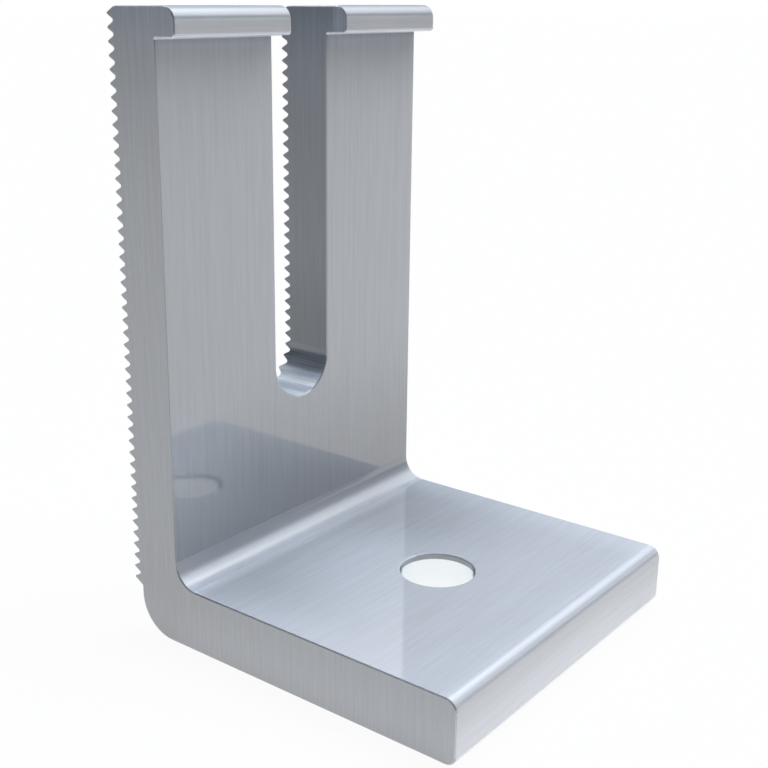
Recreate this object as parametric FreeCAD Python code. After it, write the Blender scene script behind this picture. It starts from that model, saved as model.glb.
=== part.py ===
import FreeCAD, Part
import math
import os

# A solar L-foot: a length of extruded aluminium profile, sawn off square at both ends, with an open
# slot sawn down its leg and one hole drilled through its base. It is all one piece.
# Sizes are in mm. X runs from the serrated back to the toe, Y along the extrusion, Z upwards.
# The origin is on the hole's axis, on the underside of the base.

# The profile
width = 50.0                 # sawn length of the extrusion, along Y
leg_height = 79.5            # underside of the base to the top of the leg
foot_length = 50.85          # tooth tips to the front of the toe
base_thickness = 8.3
leg_thickness = 7.85         # tooth tips to the plain front of the leg
lip_reach = 3.25             # how far the lip stands out over the base
lip_depth = 3.5              # top of the leg to the lip's underside

# Rounds of the profile
heel_radius = 5.25
inside_radius = 3.2          # between the leg and the base
toe_top_radius = 1.6
toe_bottom_radius = 1.4
lip_top_radius = 1.7
lip_bottom_radius = 0.45
lip_root_radius = 0.2        # under the lip, against the leg

# Serrations down the back, which lock against the teeth of what is bolted to them
tooth_pitch = 1.5875
tooth_angle = 60.0
tooth_tip_radius = 0.14
tooth_root_radius = 0.25
first_tip_drop = 0.82        # top of the leg to the first tooth's tip
heel_to_last_tip = 1.75      # plain stretch above the heel's round, up to the lowest tip

# The slot for the rail's bolt, open at the top
slot_width = 10.65
slot_bottom_height = 27.75   # underside of the base to the lowest point of the slot

# The hole for the roof fastener
hole_diameter = 9.85
hole_to_toe = 19.8           # hole's axis to the front of the toe

edge_break = 0.15            # the deburred edges of the sawn ends, the slot and the hole

# Places along X that follow from the sizes
toe_x = hole_to_toe
tip_x = toe_x - foot_length
leg_front_x = tip_x + leg_thickness
lip_front_x = leg_front_x + lip_reach

half_angle = math.radians(tooth_angle / 2)
sharp_tip_x = tip_x - tooth_tip_radius * (1 / math.sin(half_angle) - 1)
sharp_root_x = sharp_tip_x + tooth_pitch / 2 / math.tan(half_angle)
back_x = sharp_root_x        # the plain back lies as deep as the teeth would with sharp roots

nearly = 1e-4                # how close two lengths are when they count as equal
clear = 1.0                  # how far a cutting tool runs past the faces it cuts


def serrated_back():
    """Corners of the back from the top down, each as x, z and the radius that rounds it."""
    first_tip_z = leg_height - first_tip_drop
    lowest_tip_z = heel_radius + heel_to_last_tip
    tooth_count = int((first_tip_z - lowest_tip_z) / tooth_pitch) + 1
    corners = [(sharp_tip_x + first_tip_drop / math.tan(half_angle), leg_height, 0.0)]
    for tooth in range(tooth_count):
        tip_z = first_tip_z - tooth * tooth_pitch
        root_z = tip_z - tooth_pitch / 2
        is_last = tooth == tooth_count - 1
        corners.append((sharp_tip_x, tip_z, tooth_tip_radius))
        corners.append((sharp_root_x, root_z, 0.0 if is_last else tooth_root_radius))
    return corners


def profile_corners():
    """Corners of the whole profile, from the top of the back down and round by the base to the lip."""
    lip_under_z = leg_height - lip_depth
    return serrated_back() + [
        (back_x, 0.0, heel_radius),
        (toe_x, 0.0, toe_bottom_radius),
        (toe_x, base_thickness, toe_top_radius),
        (leg_front_x, base_thickness, inside_radius),
        (leg_front_x, lip_under_z, lip_root_radius),
        (lip_front_x, lip_under_z, lip_bottom_radius),
        (lip_front_x, leg_height, lip_top_radius),
    ]


def round_corner(before, corner, after, radius):
    """Start, middle and end of the arc that rounds a corner."""
    to_before = (before - corner).normalize()
    to_after = (after - corner).normalize()
    half_corner = to_before.getAngle(to_after) / 2
    setback = radius / math.tan(half_corner)
    inwards = (to_before + to_after).normalize()
    middle = corner + inwards * (radius / math.sin(half_corner) - radius)
    return corner + to_before * setback, middle, corner + to_after * setback


def rounded_face(corners, y):
    """Flat face of lines and tangent arcs through corners given as x, z and radius."""
    points = [FreeCAD.Vector(x, y, z) for x, z, radius in corners]
    edges = []
    starts = []
    ends = []
    for index, corner in enumerate(points):
        radius = corners[index][2]
        if radius == 0:
            starts.append(corner)
            ends.append(corner)
            continue
        after = points[(index + 1) % len(points)]
        start, middle, end = round_corner(points[index - 1], corner, after, radius)
        edges.append(Part.Arc(start, middle, end).toShape())
        starts.append(start)
        ends.append(end)
    for index, end in enumerate(ends):
        next_start = starts[(index + 1) % len(starts)]
        if end.distanceToPoint(next_start) > nearly:
            edges.append(Part.LineSegment(end, next_start).toShape())
    return Part.Face(Part.Wire(Part.__sortEdges__(edges)))


def slot_tool():
    """Round-bottomed cutter for the slot, running through the leg and the lip."""
    slot_radius = slot_width / 2
    centre_z = slot_bottom_height + slot_radius
    start_x = tip_x - clear
    reach = lip_front_x + clear - start_x
    round_end = Part.makeCylinder(
        slot_radius, reach, FreeCAD.Vector(start_x, 0, centre_z), FreeCAD.Vector(1, 0, 0))
    straight = Part.makeBox(
        reach, slot_width, leg_height + clear - centre_z,
        FreeCAD.Vector(start_x, -slot_radius, centre_z))
    return straight.fuse(round_end).removeSplitter()


def hole_tool():
    """Drill for the hole in the base."""
    return Part.makeCylinder(
        hole_diameter / 2, base_thickness + 2 * clear, FreeCAD.Vector(0, 0, -clear))


def is_deburred(edge):
    """True for the edges of the sawn ends, the slot and the hole, but not those of the teeth."""
    box = edge.BoundBox
    on_teeth = box.XMin < back_x - nearly and box.ZMin < leg_height - nearly
    if on_teeth:
        return False
    flat_in_y = box.YLength < nearly
    is_end = flat_in_y and abs(abs(box.YMax) - width / 2) < nearly
    is_slot_side = flat_in_y and abs(abs(box.YMax) - slot_width / 2) < nearly
    is_slot_floor = box.XLength < nearly and abs(box.YLength - slot_width) < nearly
    is_hole = abs(box.YLength - hole_diameter) < nearly and abs(box.XLength - hole_diameter) < nearly
    return is_end or is_slot_side or is_slot_floor or is_hole


def l_foot():
    section = rounded_face(profile_corners(), -width / 2)
    body = section.extrude(FreeCAD.Vector(0, width, 0))
    body = body.cut(slot_tool()).cut(hole_tool())
    deburred = [edge for edge in body.Edges if is_deburred(edge)]
    return body.makeChamfer(edge_break, deburred)


os.makedirs("parts", exist_ok=True)
foot = l_foot()
foot.exportStep("parts/l_foot.step")
print("l_foot valid", foot.isValid(), "solids", len(foot.Solids), "volume mm3", round(foot.Volume))
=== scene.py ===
"""A solar L-foot of brushed aluminium on a pale studio floor, seen from its toe and one sawn end."""

import math

import bpy
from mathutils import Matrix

MM = 0.001

# The photograph, which is square, and its camera. Lengths in the photograph are in pixels
PHOTO_WIDTH = 768
FOCAL_LENGTH = 1215.9
OPTICAL_CENTRE = (333.1, 372.5)         # from the photograph's left and top
SENSOR_WIDTH = 36.0                     # mm
CAMERA_PLACE = (0.08167, -0.12160, 0.07972)     # m
CAMERA_TILT = 16.885                    # degrees below level
CAMERA_TURN = 39.274                    # degrees

# The foot's own sizes, in mm
HALF_WIDTH = 25.0                       # of the sawn length, along Y
LEG_FRONT_X = -23.2
LEG_HEIGHT = 79.5
LIP_UNDER_Z = 76.0
INSIDE_ROUND = 3.2                      # between the leg and the base
BASE_THICKNESS = 8.3
TOE_X = 19.8
TOE_TOP_ROUND = 1.6
SLOT_HALF_WIDTH = 5.325
SLOT_BOTTOM_Z = 27.75
SLOT_ROUND_TOP_Z = 33.1                 # where the slot's straight sides meet its round bottom
BORE_RADIUS = 4.925
BORE_RIM = 0.8                          # depth of satin metal inside the top of the bore
MARGIN = 0.1                            # at the bounds of a zone

# The brush lines and the edges, in mm
BROAD_LINES = (0.5, 16.0)               # width and length
FINE_LINES = (0.16, 7.0)
BRUSH_DEPTH = 0.02
EDGE_SOFTNESS = 0.2

# Colours, as red, green, blue and alpha
SATIN = (0.524, 0.550, 0.598, 1.0)
# A bluer copy of the satin, mixed in as painted cool light
PAINTED_COOL_SATIN = (0.500, 0.550, 0.622, 1.0)
PAINTED_WARM_TINT = (1.0, 0.955, 0.91, 1.0)     # painted warmer light, multiplied with the satin
DRILLED = (0.965, 0.99, 1.0, 1.0)       # bright metal inside the bore
FLOOR_GREY = (0.72, 0.72, 0.72, 1.0)
WHITE = (1.0, 1.0, 1.0, 1.0)

# The studio's light: where each part of it lies, in degrees from +X towards +Y, and its colour
OVERHEAD_AZIMUTH = 117
OVERHEAD_GLOW = (0.94, 1.0, 1.07)
BAND_AZIMUTH = 70
BAND_GLOW = (0.98, 1.0, 1.02)

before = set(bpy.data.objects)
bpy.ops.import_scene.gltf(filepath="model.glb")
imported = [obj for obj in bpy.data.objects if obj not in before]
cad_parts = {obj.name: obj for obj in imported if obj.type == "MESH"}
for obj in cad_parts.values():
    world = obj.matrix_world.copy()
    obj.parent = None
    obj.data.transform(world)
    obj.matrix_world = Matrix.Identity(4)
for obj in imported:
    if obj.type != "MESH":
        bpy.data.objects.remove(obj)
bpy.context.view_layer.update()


class Field:
    """A number that changes over a surface. Arithmetic on it adds Math nodes to its tree."""

    def __init__(self, finish, socket):
        self.finish = finish
        self.socket = socket

    def maths(self, operation, *values):
        inputs = dict(enumerate(values))
        return self.finish.add("ShaderNodeMath", {"operation": operation}, inputs).field()

    def __add__(self, other):
        return self.maths("ADD", self, other)

    def __sub__(self, other):
        return self.maths("SUBTRACT", self, other)

    def __rsub__(self, other):
        return self.maths("SUBTRACT", other, self)

    def __mul__(self, other):
        return self.maths("MULTIPLY", self, other)

    def __truediv__(self, other):
        return self.maths("DIVIDE", self, other)

    def __rtruediv__(self, other):
        return self.maths("DIVIDE", other, self)

    def __pow__(self, other):
        return self.maths("POWER", self, other)

    def __gt__(self, other):
        return self.maths("GREATER_THAN", self, other)

    def __lt__(self, other):
        return self.maths("LESS_THAN", self, other)

    def __abs__(self):
        return self.maths("ABSOLUTE", self)

    __radd__ = __add__
    __rmul__ = __mul__

    def at_least(self, other):
        return self.maths("MAXIMUM", self, other)


class Node:
    """One node, whose outputs are asked for by name."""

    def __init__(self, finish, node):
        self.finish = finish
        self.node = node

    def out(self, name=0):
        return self.node.outputs[name]

    def field(self, name=0):
        return Field(self.finish, self.out(name))


class Finish:
    """The nodes of one material or world."""

    def __init__(self, owner):
        owner.use_nodes = True
        self.tree = owner.node_tree
        self.tree.nodes.clear()

    def add(self, kind, settings=None, inputs=None):
        """A node of this kind, with its settings made first and then its sockets filled."""
        node = self.tree.nodes.new(kind)
        for name, value in (settings or {}).items():
            setattr(node, name, value)
        for name, value in (inputs or {}).items():
            if isinstance(value, Field):
                value = value.socket
            if isinstance(value, bpy.types.NodeSocket):
                self.tree.links.new(value, node.inputs[name])
            else:
                node.inputs[name].default_value = value
        return Node(self, node)

    def vector_maths(self, operation, first, second):
        return self.add("ShaderNodeVectorMath", {"operation": operation}, {0: first, 1: second})

    def vector(self, operation, first, second):
        return self.vector_maths(operation, first, second).out()

    def dot(self, first, second):
        return self.vector_maths("DOT_PRODUCT", first, second).field("Value")

    def scaled(self, vector, share):
        return self.add("ShaderNodeVectorMath", {"operation": "SCALE"}, {0: vector, "Scale": share}).out()

    def parts(self, vector):
        """The three numbers of a vector."""
        split = self.add("ShaderNodeSeparateXYZ", inputs={0: vector})
        return [split.field(axis) for axis in "XYZ"]

    def ramp(self, value, start, end):
        """0 up to start, 1 from end, and smooth between them."""
        settings = {"interpolation_type": "SMOOTHSTEP"}
        inputs = {"Value": value, "From Min": start, "From Max": end}
        return self.add("ShaderNodeMapRange", settings, inputs).field()

    def colour_mix(self, share, first, second, blend="MIX"):
        settings = {"data_type": "RGBA", "blend_type": blend}
        return self.add("ShaderNodeMix", settings, {0: share, 6: first, 7: second}).out(2)


def make_camera():
    """The photograph's camera, some 15 cm from the middle of the foot and level with the top of its leg."""
    lens = bpy.data.cameras.new("camera")
    lens.sensor_width = SENSOR_WIDTH
    lens.lens = FOCAL_LENGTH * SENSOR_WIDTH / PHOTO_WIDTH
    lens.shift_x = 0.5 - OPTICAL_CENTRE[0] / PHOTO_WIDTH
    lens.shift_y = OPTICAL_CENTRE[1] / PHOTO_WIDTH - 0.5
    lens.clip_start = 0.01
    lens.clip_end = 20.0
    camera = bpy.data.objects.new("camera", lens)
    camera.location = CAMERA_PLACE
    camera.rotation_euler = (math.radians(90 - CAMERA_TILT), 0, math.radians(CAMERA_TURN))
    bpy.context.scene.collection.objects.link(camera)
    bpy.context.scene.camera = camera


class Foot:
    """Where a point of the foot is, in mm, which way it faces, and which zones of the foot it lies in.

    The near end is the sawn end towards -Y, which the camera sees, and the far end the one towards +Y.
    """

    def __init__(self, finish):
        place = finish.add("ShaderNodeTexCoord").out("Object")
        self.x, self.y, self.z = finish.parts(finish.vector("MULTIPLY", place, (1 / MM,) * 3))
        self.normal = finish.add("ShaderNodeNewGeometry").out("Normal")
        self.facing_x, self.facing_y, self.facing_z = finish.parts(self.normal)
        from_bore_axis = (self.x * self.x + self.y * self.y) ** 0.5

        # Faces: 1 on each, and 0 off it. A face square to an axis has a normal of 1 or -1 along it
        on_leg = self.x < LEG_FRONT_X + 0.3 * INSIDE_ROUND
        above_corner = self.z > BASE_THICKNESS + INSIDE_ROUND
        in_slot = (abs(self.y) < SLOT_HALF_WIDTH + MARGIN) * (self.z > SLOT_BOTTOM_Z - MARGIN)
        in_slot = in_slot * (self.z < LEG_HEIGHT - 2 * MARGIN)
        self.slot = in_slot * (abs(self.facing_x) < 0.45)
        self.slot_round = self.slot * (self.z < SLOT_ROUND_TOP_Z)
        self.bore = (from_bore_axis < BORE_RADIUS + MARGIN / 2) * (self.z < BASE_THICKNESS)
        faces_up_and_out = (self.facing_x > 0.05) * (self.facing_z > 0.05)
        self.inside_round = faces_up_and_out * (self.x < LEG_FRONT_X + INSIDE_ROUND) * (1 - above_corner)
        self.leg_front = (self.facing_x > 0.7) * on_leg * (1 - self.inside_round)
        self.lip = (1 - on_leg) * (self.z > LIP_UNDER_Z)
        self.toe = (self.facing_x > 0.7) * (self.x > TOE_X - 0.6)
        self.sides = (abs(self.facing_y) > 0.75) * (1 - self.slot_round) * (1 - self.bore)
        self.ends = self.sides * (1 - self.slot)

        # Faces again, but with a soft change at their rounded edges
        self.lip_front = finish.ramp(self.facing_x, 0.96, 1.0) * self.lip
        self.top = finish.ramp(self.facing_z, 0.985, 1.0)
        self.rounds = finish.ramp(self.facing_x, 0.0, 0.25) * finish.ramp(self.facing_z, 0.2, 0.8)
        self.underneath = finish.ramp(0 - self.facing_z, 0.1, 0.6)

        # Stretches of the foot's length, width and height, from 0 off them to 1 on them
        self.by_leg = 1 - finish.ramp(self.x, -16.0, 8.0)
        self.by_toe = finish.ramp(self.x, TOE_X - 4, TOE_X - TOE_TOP_ROUND)
        self.towards_far_end = finish.ramp(self.y, -HALF_WIDTH, HALF_WIDTH)
        self.far_half = finish.ramp(self.y, -4.0, 14.0)
        self.by_near_end = 1 - finish.ramp(self.y, -HALF_WIDTH, -16.0)
        self.by_far_end = finish.ramp(self.y, 18.0, HALF_WIDTH)
        self.low = 1 - finish.ramp(self.z, 1.5, BASE_THICKNESS)
        self.low_by_near_end = 1 - finish.ramp(self.y, -24.0, -8.0)
        self.low_by_near_end = self.low_by_near_end * (1 - finish.ramp(self.z, 22.0, 36.0))

    def streaks(self, finish, width, length):
        """Brush lines of about this width and length, in mm.

        They run up the leg's front, the sawn ends and the slot's sides, from back to front on the slot's
        round bottom, and along the extrusion on the rest.
        """
        up = self.leg_front.at_least(self.sides)
        through = self.slot_round
        along = 1 - up.at_least(through)

        def in_lines(distance, is_length):
            """The distance in lengths of a line where the lines run this way, and elsewhere in widths."""
            return distance * (is_length * (1 / length - 1 / width) + 1 / width)

        place = finish.add("ShaderNodeCombineXYZ", inputs={
            "X": in_lines(self.x, through), "Y": in_lines(self.y, along), "Z": in_lines(self.z, up)}).out()
        noise = finish.add("ShaderNodeTexNoise", {"noise_dimensions": "3D"}, {
            "Vector": place, "Scale": 1.0, "Detail": 2.0, "Roughness": 0.6})
        return noise.field("Fac") - 0.5


def painted_light_on_leg_front(finish, foot):
    """Painted shade down to the inside round and just under the lip, painted light low by the near end, and a
    little more towards the far end.
    """
    above_corner = finish.ramp(foot.z, BASE_THICKNESS + INSIDE_ROUND - 2, 36.0)
    under_lip = finish.ramp(foot.z, LIP_UNDER_Z - 1, LIP_UNDER_Z)
    share = (0.88 + 0.06 * foot.towards_far_end) * (0.58 + 0.42 * above_corner)
    return share * (1 - 0.22 * under_lip) * (1 + 0.36 * foot.low_by_near_end) - 1


def painted_light_on_top(foot):
    """Painted light over the top, more by the toe and both ends, and painted shade by the leg, above all in
    the far half.
    """
    by_leg = foot.by_leg * (0.12 * foot.by_near_end - 0.15 * foot.far_half - 0.05)
    return 0.15 + by_leg + 0.06 * foot.by_toe + 0.12 * foot.by_far_end


def painted_shade_in_slot(finish, foot):
    """Painted shade low in the slot, and less of it up its sides and through the lip."""
    above_round = finish.ramp(foot.z, SLOT_ROUND_TOP_Z, 48.0)
    by_lip = finish.ramp(foot.z, 62.0, 82.0)
    share = 0.47 + 0.04 * foot.slot_round + 0.22 * above_round + 0.26 * by_lip + 0.18 * foot.lip
    return share - 1


def painted_bands_on_slot_round(finish, foot):
    """Painted pale and dark bands of reflection from the slot's sides down to its lowest line."""
    steps = [                           # how much lighter the painted band is, from and to which upward part of the normal
        (0.54, 0.28, 0.5),
        (1.62, 0.56, 0.66),
        (-1.6, 0.68, 0.76),
        (0.62, 0.79, 0.87),
        (-0.16, 0.89, 0.93),
        (0.2, 0.975, 0.99),
    ]
    change = 0.24
    for lighter, start, end in steps:
        change = change + lighter * finish.ramp(foot.facing_z, start, end)
    return change


def painted_light_on_inside_round(finish, foot):
    """Painted highlight and shade on the inside round: lighter by the near end, darker in the far half, and
    darkest a third of the way round from the base.
    """
    lengthwise = 1.05 + 0.12 * foot.by_near_end - 0.1 * foot.far_half
    steep = finish.ramp(foot.facing_x, 0.45, 0.65)
    off_base = finish.ramp(foot.facing_x, 0.15, 0.45)
    return lengthwise * (1 + 0.13 * steep - 0.21 * off_base) - 1


def painted_light_on_ends(finish, foot):
    """Painted light at the base's lower edge and at the top of the leg."""
    high = 0.1 * finish.ramp(foot.z, 62.0, 78.0) + 0.42 * finish.ramp(foot.z, 70.0, 80.0)
    return 0.17 * foot.low + high - 0.08


def painted_light_and_brush_lines(finish, foot, brush, soft_edges):
    """How light the satin is against its own colour: painted light and shade on each face and edge, and the
    brush lines from one to the next.
    """
    # Painted highlights on the softened edges, where the bevelled normal turns from the true one
    painted_edge_highlights = finish.ramp(1 - finish.dot(soft_edges, foot.normal), 0.0, 0.08)
    painted_light_by_zone = [                         # each face or edge, and how much painted light or shade it gets
        (foot.leg_front, painted_light_on_leg_front(finish, foot)),
        # painted light on the lip's front
        (foot.lip_front, 0.57),
        (foot.top, painted_light_on_top(foot)),
        # painted shade dimming the highlight on the lip's rounds
        (foot.lip * foot.rounds, -0.12),
        (foot.slot, painted_shade_in_slot(finish, foot)),
        (foot.slot_round, painted_bands_on_slot_round(finish, foot)),
        (foot.inside_round, painted_light_on_inside_round(finish, foot)),
        # painted light on the toe, more towards its lower edge
        (foot.toe, 0.22 + 0.44 * foot.low),
        (foot.ends, painted_light_on_ends(finish, foot)),
        # painted light on faces turned down towards the floor
        (foot.underneath, 0.55),
        (painted_edge_highlights, 0.45),
    ]
    share = 1 + brush * (0.55 + foot.slot_round)
    for zone, change in painted_light_by_zone:
        share = share * (1 + zone * change)
    return share


def satin_colour_with_painted_tints(finish, foot):
    """Painted cool and warm light on the satin: cooler in the slot, in the bore and by the leg, and warmer on
    the lip's front, the toe and the top.
    """
    painted_cool_light = 0.1 + 0.65 * foot.by_leg * (1 - 0.65 * foot.far_half)
    painted_cool_light = painted_cool_light * foot.top.at_least(foot.inside_round * foot.facing_z)
    painted_cool_light = painted_cool_light.at_least(0.15 * foot.ends).at_least(0.6 * foot.slot).at_least(foot.bore)
    painted_warm_light = foot.lip_front.at_least(0.4 * foot.toe).at_least(0.3 * foot.top * (1 - 0.6 * foot.by_leg))
    colour = finish.colour_mix(painted_cool_light, SATIN, PAINTED_COOL_SATIN)
    return finish.colour_mix(painted_warm_light, colour, PAINTED_WARM_TINT, "MULTIPLY")


def brushed_aluminium():
    """Satin aluminium, brushed up the leg and the sawn ends and along the rest, under a thin clear skin."""
    material = bpy.data.materials.new("brushed aluminium")
    finish = Finish(material)
    foot = Foot(finish)
    soft_edges = finish.add("ShaderNodeBevel", {"samples": 8}, {"Radius": EDGE_SOFTNESS * MM}).out()

    lines = foot.streaks(finish, *BROAD_LINES) + foot.streaks(finish, *FINE_LINES)
    rubbed = foot.toe.at_least(foot.lip_front).at_least(foot.rounds)
    brush = lines * 0.6 * (1 - 0.4 * foot.top) * (1 - 0.5 * rubbed) * (1 - 0.6 * foot.inside_round)

    # Below its rim the bore is bright, smooth metal
    rim_z = BASE_THICKNESS - BORE_RIM
    bored = foot.bore * (1 - finish.ramp(foot.z, rim_z - MARGIN / 2, rim_z + MARGIN / 2))
    # The satin's colour carries painted light and shade, painted edge highlights and painted cool and warm
    # light
    satin = finish.scaled(satin_colour_with_painted_tints(finish, foot), painted_light_and_brush_lines(finish, foot, brush, soft_edges))
    roughness = (0.7 + 0.25 * brush) * (1 - bored) + 0.15 * bored
    coat = 1 - (0.6 * foot.rounds).at_least(0.5 * foot.inside_round)
    coat = coat * (1 - 0.2 * foot.low_by_near_end * foot.leg_front) * (1 - 0.5 * foot.slot) * (1 - bored)

    normal = finish.add("ShaderNodeBump", inputs={
        "Strength": 0.25, "Distance": BRUSH_DEPTH * MM, "Height": brush, "Normal": soft_edges}).out()
    shader = finish.add("ShaderNodeBsdfPrincipled", inputs={
        "Base Color": finish.colour_mix(bored, satin, DRILLED),
        "Metallic": 0.6 + 0.4 * bored,
        "Roughness": roughness,
        "Normal": normal,
        "Specular IOR Level": 0.0,
        "Coat Weight": coat,
        "Coat IOR": 2.6,
        "Coat Roughness": 0.06,
    })
    finish.add("ShaderNodeOutputMaterial", inputs={"Surface": shader.out()})
    return material


def studio_floor():
    """A wide pale sheet: white where it is seen, with only a breath of the foot's shadow.

    The foot mirrors it as a pool of light, brightest near the foot and fading outwards.
    """
    half = 10.0                         # m
    corners = [(-half, -half, 0.0), (half, -half, 0.0), (half, half, 0.0), (-half, half, 0.0)]
    mesh = bpy.data.meshes.new("floor")
    mesh.from_pydata(corners, [], [(0, 1, 2, 3)])
    floor = bpy.data.objects.new("floor", mesh)
    bpy.context.scene.collection.objects.link(floor)

    material = bpy.data.materials.new("pale floor")
    finish = Finish(material)
    x, y, _ = finish.parts(finish.add("ShaderNodeTexCoord").out("Object"))
    pool_centre = 0.2                   # m, along both X and Y
    pool_radius = 1.7                   # m, where it is half as bright
    pool_x = x - pool_centre
    pool_y = y - pool_centre
    from_pool = (pool_x * pool_x + pool_y * pool_y) ** 0.5
    pool = 1 / (1 + (from_pool / pool_radius) ** 2.0)
    plain_white = 0.95                  # share of what the camera sees; the rest takes the shadow
    path = finish.add("ShaderNodeLightPath")
    camera = path.field("Is Camera Ray")
    mirrored = path.field("Is Glossy Ray").at_least(path.field("Is Transmission Ray"))
    lit = finish.add("ShaderNodeBsdfDiffuse", inputs={"Color": FLOOR_GREY})
    white = finish.add("ShaderNodeEmission", inputs={
        "Color": WHITE, "Strength": camera + (1 - camera) * pool})
    both = finish.add("ShaderNodeMixShader", inputs={
        0: camera * plain_white + mirrored, 1: lit.out(), 2: white.out()})
    finish.add("ShaderNodeOutputMaterial", inputs={"Surface": both.out()})
    mesh.materials.append(material)


def towards(azimuth):
    """The level direction that lies at these degrees: 0 is along +X and 90 along +Y."""
    azimuth = math.radians(azimuth)
    return (math.cos(azimuth), math.sin(azimuth), 0.0)


def studio_light():
    """A wide soft light high over the back and the far end, and a soft band of light beyond the far end."""
    world = bpy.data.worlds.new("studio")
    bpy.context.scene.world = world
    finish = Finish(world)
    direction = finish.add("ShaderNodeTexCoord").out("Generated")
    height = finish.dot(direction, (0.0, 0.0, 1.0))
    level_part = (1.0001 - height * height) ** 0.5      # a hair over 1 keeps it above 0 straight up

    behind = finish.ramp(finish.dot(direction, towards(OVERHEAD_AZIMUTH)), 0.0, 0.12)
    overhead = 6.0 * finish.ramp(height, 0.62, 1.0) * behind
    around = finish.ramp(finish.dot(direction, towards(BAND_AZIMUTH)) / level_part, 0.69, 0.9)
    band = (0.25 + 2.0 * finish.ramp(height, 0.335, 0.68)) * around
    lamps = finish.vector("ADD", finish.scaled(OVERHEAD_GLOW, overhead), finish.scaled(BAND_GLOW, band))
    camera = finish.add("ShaderNodeLightPath").out("Is Camera Ray")
    glow = finish.add("ShaderNodeBackground", inputs={
        "Color": finish.colour_mix(camera, lamps, WHITE)})
    finish.add("ShaderNodeOutputWorld", inputs={"Surface": glow.out()})


make_camera()
studio_floor()
studio_light()
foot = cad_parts["l_foot"]
foot.data.materials.clear()
foot.data.materials.append(brushed_aluminium())
bpy.context.scene.view_settings.view_transform = "Standard"
